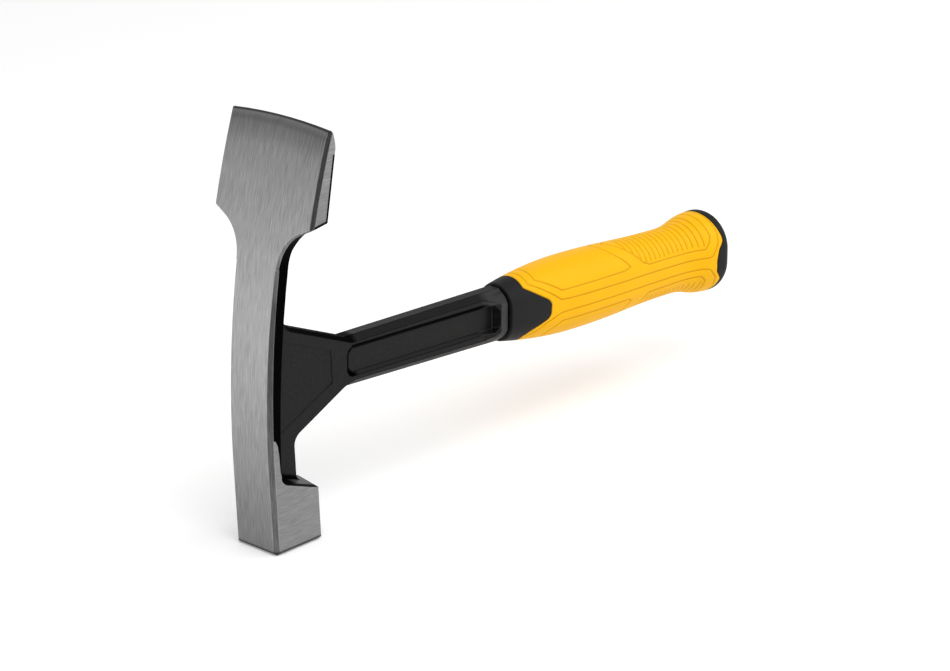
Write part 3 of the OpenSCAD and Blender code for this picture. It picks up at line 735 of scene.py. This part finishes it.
# %% Bare or painted
FRONT, CROWN_START, CROWN_R = -12.75, 35.0, 400.0
CROWN_DEPTH, FORWARD = (4.2, 3.8), (-0.30, -0.40)
DIP_LINE = [
    (-12.75, 51), (-9.7, 50.3), (-8.6, 48), (-8.1, 44),
    (-7.9, 36), (-6.8, 31.5), (-4.4, 29.1), (12.75, 22.7),
]
DIP_TOP, DIP_GRAIN, DIP_WANDER = 60.0, (0.5, 0.5, 0.5), 0.6
DIP_EDGE, NOT_UPWARD = (0.15, 0.45), (0.5, 0.3)
BLADE_LEAN, BLADE_BACK = radians(12.2), (10.3, 0, 142.7)
BLADE_RISE, BLADE_LOW = 0.1404, (0, 0, 140.63)
BLADE_SIDE, RIM = (28.55, 28.7), (0.9, 1.2)
EDGE_R, BEVEL_START = 292.0, (170.5, 170.9)
beside = calc("ABSOLUTE", place["Y"])
turned = calc("ABSOLUTE", facing["Y"])
above = calc("MAXIMUM", calc("SUBTRACT", place["Z"], CROWN_START), 0.0)
curve_back = calc("DIVIDE", calc("MULTIPLY", above, above), 2 * CROWN_R)
behind_crown = calc("SUBTRACT", calc("SUBTRACT", place["X"], FRONT), curve_back)
crown_bare = both(ramp(behind_crown, *CROWN_DEPTH), ramp(facing["X"], *FORWARD))
wander = calc("MULTIPLY", noise(vector, DIP_GRAIN), DIP_WANDER)
dip_z = calc("ADD", line_through(tree, place["X"], DIP_LINE, DIP_TOP), wander)
below_dip = calc("SUBTRACT", dip_z, place["Z"])
poll_bare = both(ramp(below_dip, *DIP_EDGE), ramp(facing["Z"], *NOT_UPWARD))
rear_rim = ramp(plane_gap(tree, vector, (-1, 0, tan(BLADE_LEAN)), BLADE_BACK), *RIM)
low_rim = ramp(plane_gap(tree, vector, (-BLADE_RISE, 0, 1), BLADE_LOW), *RIM)
blade_bare = both(ramp(beside, *BLADE_SIDE), rear_rim, low_rim)
edge_sag = calc("DIVIDE", calc("MULTIPLY", beside, beside), 2 * EDGE_R)
level_z = calc("ADD", place["Z"], edge_sag)
bevel_bare = ramp(level_z, *BEVEL_START)
bare = either(poll_bare, crown_bare, blade_bare, bevel_bare)
print("mask nodes:", len(tree.nodes))

# %% [markdown]
# Grinding leaves fine lines along the head on the crown, and lines across it on the flat sides. A
# photograph of brushed metal could be wrapped round, but stretched noise draws such lines at any
# size. They go into the colour, the roughness and a faint bump. Light is also painted into the colour
# along the head: the tone is lightest at the neck and falls off to the cutting edge and to the striking
# face, on the crown and on the sides.

# %% Ground steel
CROWN_GRAIN, SIDE_GRAIN = (0.14, 4.6, 0.14), (0.16, 1.0, 2.4)
CROWN_DETAIL, SIDE_DETAIL, SOFT_DETAIL = 4.0, 2.0, 2.0
NOISE_MIDDLE = 0.5
CROWN_CONTRAST, SIDE_CONTRAST = 0.46, 0.26
CLOUDS, CLOUD_TONE, STEEL_TONE = (0.05, 0.05, 0.05), 0.04, 0.318
SIDE_FACE = (0.8, 0.9)
# painted light: the tone along the head, lightest at the neck, stands in for how the light falls on it
CROWN_PAINTED_LIGHT = [
    (0, 0.58), (20, 0.67), (46, 0.87), (88, 1.2), (105, 1.25), (134, 1.08), (150, 0.94),
    (164, 0.82), (168, 0.75), (172, 0.58), (176, 0.48), (176.6, 0.41), (181, 0.3),
]
SIDE_PAINTED_LIGHT = [(0, 0.75), (30, 0.73), (140, 0.64), (172, 0.76), (181, 0.76)]
TONE_TOP = 1.3


def blend_values(tree, share, low, high):
    """low where share is 0 and high where it is 1; a plain number is written on its socket."""
    made = add_node(tree, "ShaderNodeMix", data_type="FLOAT")
    tree.links.new(share, made.inputs["Factor"])
    for socket, value in ((made.inputs["A"], low), (made.inputs["B"], high)):
        if isinstance(value, (int, float)):
            socket.default_value = value
        else:
            tree.links.new(value, socket)
    return made.outputs["Result"]


blend = partial(blend_values, tree)
sideways = ramp(turned, *SIDE_FACE)
crown_lines = noise(vector, CROWN_GRAIN, CROWN_DETAIL)
side_lines = noise(vector, SIDE_GRAIN, SIDE_DETAIL)
grain = blend(sideways, crown_lines, side_lines)
lines = both(calc("SUBTRACT", grain, NOISE_MIDDLE), blend(sideways, CROWN_CONTRAST, SIDE_CONTRAST))
clouds = calc("MULTIPLY", noise(vector, CLOUDS, SOFT_DETAIL), CLOUD_TONE)
ground = calc("ADD", clouds, calc("ADD", lines, STEEL_TONE))
# painted light along the head, on the crown and on the sides
crown_painted_light = line_through(tree, level_z, CROWN_PAINTED_LIGHT, TONE_TOP)
side_painted_light = line_through(tree, place["Z"], SIDE_PAINTED_LIGHT, TONE_TOP)
ground = both(ground, blend(sideways, crown_painted_light, side_painted_light))
print("ground steel nodes:", len(tree.nodes))

# %% [markdown]
# Chamfers carry a coarser grain, and their colour is painted darker in a tone that falls with height
# and rises at the flare: painted shade. The bevel round the striking face and the very edge are dark.
# The sharp edges are painted bright, partly as wear and partly as painted highlight. To find these
# edges, a Bevel node gives a normal that is rounded over half a millimetre: where it turns away from
# the true face, there is an edge. Painting the edges by hand would have to be done again after each
# change of shape.

# %% Chamfers and edges
CHAMFER_FROM, CHAMFER_TO = (-0.915, -0.885), (-0.3, -0.35)
CHAMFER_Z, CHAMFER_SHADE_TONE = (10, 70), (0.135, 0.088)
FLARE_Z, FLARE_INNER, FLARE_CHAMFER_SHADE = (107, 117), (28.4, 28.0), 0.19
COARSE_GRAIN, COARSE_TONE = (0.25, 0.75), (0.5, 1.5)
FACE_BEVEL, EDGE_TOP, DARK_STEEL = (2.0, 1.2), (179.4, 179.8), 0.05
WORN_R, WORN_AND_LIT_SPAN, WORN_AND_LIT_SHARE, WORN_AND_LIT_STEEL = 0.5 * MM, (0.985, 0.93), 0.6, 0.55
OFF_FACE, OFF_EDGE = (2.0, 3.0), (179.2, 178.5)
EDGE_SAMPLES = 4


def rounded_normal(tree, radius):
    """The normal rounded over radius, and how far it agrees with the true face: less than 1 on edges."""
    bevel = add_node(tree, "ShaderNodeBevel", samples=EDGE_SAMPLES)
    bevel.inputs["Radius"].default_value = radius
    true_face = add_node(tree, "ShaderNodeNewGeometry")
    agreement = add_node(tree, "ShaderNodeVectorMath", operation="DOT_PRODUCT")
    tree.links.new(bevel.outputs["Normal"], agreement.inputs[0])
    tree.links.new(true_face.outputs["Normal"], agreement.inputs[1])
    return bevel.outputs["Normal"], agreement.outputs["Value"]


# painted shade: the chamfers are darker than the faces, in a tone that changes with height
chamfer = within(facing["X"], CHAMFER_FROM, CHAMFER_TO)
flare_zone = both(ramp(place["Z"], *FLARE_Z), ramp(beside, *FLARE_INNER))
chamfer_shade = blend(flare_zone, ramp(place["Z"], *CHAMFER_Z, *CHAMFER_SHADE_TONE), FLARE_CHAMFER_SHADE)
chamfer_shade = both(chamfer_shade, ramp(grain, *COARSE_GRAIN, *COARSE_TONE))
ground = blend(chamfer, ground, chamfer_shade)
dark_ends = either(ramp(place["Z"], *FACE_BEVEL), ramp(level_z, *EDGE_TOP))
ground = blend(dark_ends, ground, DARK_STEEL)
worn_normal, worn_and_lit_agreement = rounded_normal(tree, WORN_R)
# partly wear and partly painted highlight: the sharp edges of the bare steel turn paler
worn_and_lit_edge = both(ramp(worn_and_lit_agreement, *WORN_AND_LIT_SPAN), ramp(place["Z"], *OFF_FACE), ramp(level_z, *OFF_EDGE))
ground = blend(calc("MULTIPLY", worn_and_lit_edge, WORN_AND_LIT_SHARE), ground, WORN_AND_LIT_STEEL)
print("with edges:", len(tree.nodes))

# %% [markdown]
# The paint is a satin black with a leathery skin. A plain grey value would look like plastic, so fine
# noise varies the tone, and later the gloss and a bump. On the shank the masks are easier to write in
# the handle's own frame: the station along it and the height over its middle line. The boss in front
# of the grip, outside the pocket, is painted lighter: a band of painted light.

# %% Skin of the paint
PEEL, PEEL_SPAN, PAINT_TONE = (0.8, 0.8, 0.8), (0.3, 0.7), (0.004, 0.010)
BOSS, BOSS_SIDE, BOSS_PAINTED_LIGHT = (129, 134), (0.3, 0.6), 0.045
BOSS_REAR, BOSS_TOP = (138.4, 138.9), (6.6, 7.0)
HANDLE_POINT = (HANDLE_X, 0, HANDLE_Z)
station = plane_gap(tree, vector, (cos(HANDLE_FALL), 0, -sin(HANDLE_FALL)), HANDLE_POINT)
height = plane_gap(tree, vector, (sin(HANDLE_FALL), 0, cos(HANDLE_FALL)), HANDLE_POINT)
from_middle = calc("ABSOLUTE", height)
peel = noise(vector, PEEL)
paint = ramp(peel, *PEEL_SPAN, *PAINT_TONE)
past_pocket = either(ramp(station, *BOSS_REAR), ramp(height, *BOSS_TOP))
# painted light: the boss outside the pocket is painted paler
boss = both(ramp(station, *BOSS), past_pocket, ramp(turned, *BOSS_SIDE))
paint = blend(boss, paint, BOSS_PAINTED_LIGHT)
print("with paint:", len(tree.nodes))

# %% [markdown]
# The shank is an I-section: a long pocket is forged into each side. Its upper wall and its front wall
# are painted deep black as shade, also round the corners in front, where the line follows whichever
# wall is nearer, and the lower wall gets a little of that painted shade. Where the lower wall faces up,
# it is painted paler: painted light. An Ambient Occlusion node could darken the corners too, but it
# would darken all of them alike.

# %% Lines of the pocket
POCKET_START, POCKET_HALF, POCKET_CORNER = 50.2, 6.4, 2.6
WALL_FROM, WALL_TO = (52.2, 52.8), (134, 130)
UPPER_FROM, UPPER_TO = (5.0, 5.3), (7.5, 7.1)
LOWER_FROM, LOWER_TO, LOWER_SHARE = (-6.0, -6.2), (-6.9, -6.7), 0.3
FRONT_FROM, FRONT_TO, FRONT_ENDS = (-0.6, -0.3), (2.0, 1.6), (6.8, 6.5)
LIT_FROM, LIT_TO, LIT_FACING, LIT_TONE = (-4.8, -5.1), (-6.6, -6.4), (0.25, 0.35), 0.02
ON_SIDE = (0.45, 0.55)
on_side = ramp(turned, *ON_SIDE)
along_walls = within(station, WALL_FROM, WALL_TO)
upper_wall = within(height, UPPER_FROM, UPPER_TO)
lower_wall = calc("MULTIPLY", within(height, LOWER_FROM, LOWER_TO), LOWER_SHARE)
inward = calc("SUBTRACT", station, POCKET_START)
past_corner = calc("SUBTRACT", calc("ADD", inward, POCKET_HALF - POCKET_CORNER), from_middle)
front_gap = calc("MINIMUM", inward, calc("MULTIPLY", past_corner, cos(pi / 4)))
front_wall = both(within(front_gap, FRONT_FROM, FRONT_TO), ramp(from_middle, *FRONT_ENDS))
# painted shade: the pocket's upper, front and lower walls darken towards black
pocket_shade = both(on_side, either(both(along_walls, either(upper_wall, lower_wall)), front_wall))
lit_wall = both(within(height, LIT_FROM, LIT_TO), along_walls, ramp(facing["Z"], *LIT_FACING))
# painted light: the upward part of the pocket's lower wall is painted paler
paint = blend(lit_wall, paint, LIT_TONE)
print("with pocket:", len(tree.nodes))

# %% [markdown]
# Sharp edges of the paint carry black lines of painted shade. The lines could be modelled as thin
# strips, but a second rounded normal finds the edges by itself. Two places differ: the shallow panel in
# the gusset has soft edges without a line, and its walls are painted paler, painted light over their
# shade; the edges at the pocket's rear end are painted paler too, a painted highlight.

# %% Edges of the paint
EDGE_LINE_R, EDGE_LINE_SPAN = 0.6 * MM, (0.99, 0.93)
GUSSET_LOW_SLOPE, GUSSET_LOW = radians(24.9), (7.1, 0, 44.4)
GUSSET_TOP_SLOPE, GUSSET_TOP = radians(23.6), (5.0, 0, 94.1)
PANEL_INSET, PANEL_REAR, PANEL_WALL, PANEL_PAINTED_LIGHT = (3, 4), (34, 32), (0.9, 0.8), 0.03
END_FROM, END_TO, END_HEIGHT, END_PAINTED_LIGHT = (128, 131), (139.9, 139.5), (7.4, 7.0), 0.06
edge_highlight_and_shade = ramp(rounded_normal(tree, EDGE_LINE_R)[1], *EDGE_LINE_SPAN)
low_across = (-sin(GUSSET_LOW_SLOPE), 0, cos(GUSSET_LOW_SLOPE))
top_across = (-sin(GUSSET_TOP_SLOPE), 0, -cos(GUSSET_TOP_SLOPE))
over_low = ramp(plane_gap(tree, vector, low_across, GUSSET_LOW), *PANEL_INSET)
under_top = ramp(plane_gap(tree, vector, top_across, GUSSET_TOP), *PANEL_INSET)
in_panel = both(over_low, under_top, ramp(place["X"], *PANEL_REAR))
pocket_end = both(within(station, END_FROM, END_TO), ramp(from_middle, *END_HEIGHT))
# painted highlight: the edges at the pocket's rear end are painted paler
paint = blend(both(edge_highlight_and_shade, pocket_end), paint, END_PAINTED_LIGHT)
# painted light: the walls of the gusset's shallow panel are painted paler, so they show no dark line
paint = blend(both(in_panel, ramp(turned, *PANEL_WALL)), paint, PANEL_PAINTED_LIGHT)
# painted shade: every other sharp edge of the paint turns into a black line
edge_highlight_and_shade = both(edge_highlight_and_shade, blend(in_panel, 1.0, 0.0), blend(pocket_end, 1.0, 0.0))
print("with paint edges:", len(tree.nodes))

# %% [markdown]
# Some faces are painted black as a whole, as painted shade: the neck's sides behind the crown, the
# chamfers of the gusset, its top, the foot of the web, the root and the rim of the poll's shoulder, and
# the slit in front of the collar. Each could have a material of its own, but most of them fade into the
# paint without a border, so their masks join in one. The shoulder itself lies open to the light, and
# its paler tone is painted light.

# %% Faces painted black as shade
NECK_SIDE, NECK_FOOT, NOT_REAR = (11.8, 12.2), (30, 33), (0.5, 0.3)
SLANTED, TILTED_UP, TILTED_DOWN = (0.3, 0.4), (0.35, 0.45), (-0.3, -0.4)
UPWARD, LEVEL = (0.5, 0.6), (0.75, 0.85)
GUSSET_END, SHANK_START = (47, 43), (43, 47)
GUSSET_LOW_END, SHANK_LOW_START, GUSSET_FROM_Z = (42, 40), (40, 42), (60, 62)
GUSSET_SHARE, SHANK_LOW_SHARE, SHANK_TOP_SHARE = 0.9, 0.2, 0.3
SHOULDER_Z, SHOULDER_PAINTED_LIGHT, SHOULDER_RIM = (42, 40), 0.06, (-0.25, -0.1)
ROOT_X, ROOT_Z = (5, 1), (38, 36)
WEB_SIDE, WEB_FOOT = (8, 7), (-3.4, -2.2)
SLIT_FROM, SLIT_TO = (142.2, 142.6), (146, 145)
SHADE_BLACK = 0.0008
slanted = ramp(turned, *SLANTED)
tilted_up = ramp(facing["Z"], *TILTED_UP)
low_slope = both(slanted, ramp(facing["Z"], *TILTED_DOWN))
upward = ramp(facing["Z"], *UPWARD)
to_gusset_end = ramp(place["X"], *GUSSET_END)
neck_side = both(ramp(beside, *NECK_SIDE), ramp(place["Z"], *NECK_FOOT), ramp(facing["X"], *NOT_REAR))
gusset_upper = both(slanted, tilted_up, to_gusset_end)
gusset_lower = both(low_slope, ramp(place["X"], *GUSSET_LOW_END))
gusset_slopes = calc("MULTIPLY", either(gusset_upper, gusset_lower), GUSSET_SHARE)
shank_low = calc("MULTIPLY", both(low_slope, ramp(place["X"], *SHANK_LOW_START)), SHANK_LOW_SHARE)
shank_top = calc("MULTIPLY", both(tilted_up, ramp(place["X"], *SHANK_START)), SHANK_TOP_SHARE)
gusset_top = both(ramp(facing["Z"], *LEVEL), to_gusset_end, ramp(place["Z"], *GUSSET_FROM_Z))
shoulder_rim = both(ramp(below_dip, *SHOULDER_RIM), upward)
root = both(ramp(place["X"], *ROOT_X), ramp(place["Z"], *ROOT_Z), upward)
web_foot = both(on_side, ramp(beside, *WEB_SIDE), ramp(below_dip, *WEB_FOOT))
slit = within(station, SLIT_FROM, SLIT_TO)
# painted light: the shoulder's upward faces are painted paler than the rest of the paint
paint = blend(both(upward, ramp(place["Z"], *SHOULDER_Z)), paint, SHOULDER_PAINTED_LIGHT)
# painted shade: these faces, the pocket's walls and the edge lines all turn nearly black
head_shade = either(neck_side, gusset_slopes, gusset_top, shoulder_rim, root, web_foot)
painted_shade = either(head_shade, shank_low, shank_top, pocket_shade, edge_highlight_and_shade, slit)
paint = blend(painted_shade, paint, SHADE_BLACK)
print("painted steel nodes:", len(tree.nodes))

# %% [markdown]
# The two finishes meet in one shader. Two shaders and a Mix Shader would do for a picture, but the
# values of one shader can be baked into plain textures. The mask of bare steel drives colour, metal and
# roughness at once, and the rounded normal lets every edge catch a little light. The specular level has
# to be one number for the whole material, so the black of the painted shade is set as a rough metal
# with next to no colour: it mirrors less than any paint and stays black under lamps.

# %% Steel shader
SPECULAR = 0.14
GRAIN_SPAN, STEEL_ROUGH = (0.3, 0.7), (0.44, 0.34)
PAINT_ROUGH, SHADE_BLACK_ROUGH = (0.34, 0.42), 0.85
PEEL_HEIGHT, BUMP_STRENGTH, BUMP_DEPTH = 2.0, 0.12, 0.1 * MM
steel_rough = ramp(grain, *GRAIN_SPAN, *STEEL_ROUGH)
paint_rough = blend(painted_shade, ramp(peel, *PEEL_SPAN, *PAINT_ROUGH), SHADE_BLACK_ROUGH)
colour = add_node(tree, "ShaderNodeCombineColor")
finish_tone = blend(bare, paint, ground)
for channel in colour.inputs:
    tree.links.new(finish_tone, channel)
bump = add_node(tree, "ShaderNodeBump")
bump.inputs["Strength"].default_value = BUMP_STRENGTH
bump.inputs["Distance"].default_value = BUMP_DEPTH
tree.links.new(blend(bare, calc("MULTIPLY", peel, PEEL_HEIGHT), grain), bump.inputs["Height"])
tree.links.new(worn_normal, bump.inputs["Normal"])
shader = add_node(tree, "ShaderNodeBsdfPrincipled")
shader.inputs["Specular IOR Level"].default_value = SPECULAR
tree.links.new(colour.outputs["Color"], shader.inputs["Base Color"])
# the painted shade is a rough, nearly black metal
tree.links.new(either(bare, painted_shade), shader.inputs["Metallic"])
tree.links.new(blend(bare, paint_rough, steel_rough), shader.inputs["Roughness"])
tree.links.new(bump.outputs["Normal"], shader.inputs["Normal"])
out = add_node(tree, "ShaderNodeOutputMaterial")
tree.links.new(shader.outputs["BSDF"], out.inputs["Surface"])
forging.data.materials.append(steel)
print("steel nodes:", len(tree.nodes))

# %% [markdown]
# Both mouldings are plastic with a fine grain from their moulds, and the core is the hard, matte black
# one. A plain colour would look like glass under these lamps. So noise varies the colour, the gloss and
# a faint bump, all from one grain, and one function makes the finish for core and sleeve.

# %% Hard moulding
SKIN_SPAN, SKIN_ROUGH_SPAN, SKIN_BUMP = (0.35, 0.65), (0.3, 0.7), 0.25
DRIFT = (0.04, 0.04, 0.04)
CORE_LIGHT, CORE_DARK = (0.0125, 0.0125, 0.013), (0.008, 0.008, 0.0085)
CORE_GRAIN, CORE_BUMP, CORE_ROUGH, CORE_SPECULAR = 2.5, 0.12 * MM, (0.5, 0.62), 0.18


def moulded_finish(name, light, dark, grain, bump_depth, rough, specular):
    """A moulding's material with fine grain in colour, gloss and bump. Gives it, its colour and shader."""
    made = bpy.data.materials.new(name)
    tree = shader_tree(made)
    vector = place_in_mm(tree)[0]
    skin = streaks(tree, vector, (grain, grain, grain))
    drift = streaks(tree, vector, DRIFT, SOFT_DETAIL)
    tint = add_node(tree, "ShaderNodeValToRGB")
    for stop, spot, shade in zip(tint.color_ramp.elements, SKIN_SPAN, (dark, light)):
        stop.position = spot
        stop.color = (*shade, 1)
    tree.links.new(maths(tree, "DIVIDE", maths(tree, "ADD", skin, drift), 2), tint.inputs["Fac"])
    relief = add_node(tree, "ShaderNodeBump")
    relief.inputs["Strength"].default_value = SKIN_BUMP
    relief.inputs["Distance"].default_value = bump_depth
    tree.links.new(skin, relief.inputs["Height"])
    plastic = add_node(tree, "ShaderNodeBsdfPrincipled")
    plastic.inputs["Specular IOR Level"].default_value = specular
    tree.links.new(tint.outputs["Color"], plastic.inputs["Base Color"])
    tree.links.new(ramp_between(tree, skin, *SKIN_ROUGH_SPAN, *rough), plastic.inputs["Roughness"])
    tree.links.new(relief.outputs["Normal"], plastic.inputs["Normal"])
    surface = add_node(tree, "ShaderNodeOutputMaterial")
    tree.links.new(plastic.outputs["BSDF"], surface.inputs["Surface"])
    return made, tint.outputs["Color"], plastic


core_look = (CORE_LIGHT, CORE_DARK, CORE_GRAIN, CORE_BUMP, CORE_ROUGH, CORE_SPECULAR)
core.data.materials.append(moulded_finish("black_moulding", *core_look)[0])
print("core finish:", core.data.materials[0].name)

# %% [markdown]
# The sleeve is a softer plastic, yellow, and deeper in colour inside the engraved lines, where shade and
# dust gather. A painted texture could show that, but the grip would have to be unwrapped for it. The
# groove share that is kept with each point already tells the colour where the lines are.

# %% Soft sleeve
SLEEVE_LIGHT, SLEEVE_DARK = (0.97, 0.5, 0.006), (0.94, 0.475, 0.004)
SLEEVE_GRAIN, SLEEVE_BUMP, SLEEVE_ROUGH, SLEEVE_SPECULAR = 2.0, 0.05 * MM, (0.42, 0.52), 0.1
GROOVE_COLOUR, GROOVE_SPAN = (0.66, 0.31, 0.003, 1), (0.2, 0.9)
MIX_SHARE, MIX_FIRST, MIX_SECOND, MIX_RESULT = 0, 6, 7, 2
sleeve_look = (SLEEVE_LIGHT, SLEEVE_DARK, SLEEVE_GRAIN, SLEEVE_BUMP, SLEEVE_ROUGH, SLEEVE_SPECULAR)
sleeve_finish, sleeve_colour, sleeve_shader = moulded_finish("yellow_sleeve", *sleeve_look)
tree = sleeve_finish.node_tree
mark = add_node(tree, "ShaderNodeAttribute", attribute_name="groove")
deepened = add_node(tree, "ShaderNodeMix", data_type="RGBA")
deepened.inputs[MIX_SECOND].default_value = GROOVE_COLOUR
tree.links.new(ramp_between(tree, mark.outputs["Fac"], *GROOVE_SPAN), deepened.inputs[MIX_SHARE])
tree.links.new(sleeve_colour, deepened.inputs[MIX_FIRST])
tree.links.new(deepened.outputs[MIX_RESULT], sleeve_shader.inputs["Base Color"])
sleeve.data.materials.append(sleeve_finish)
print("materials:", [m.name for m in bpy.data.materials])
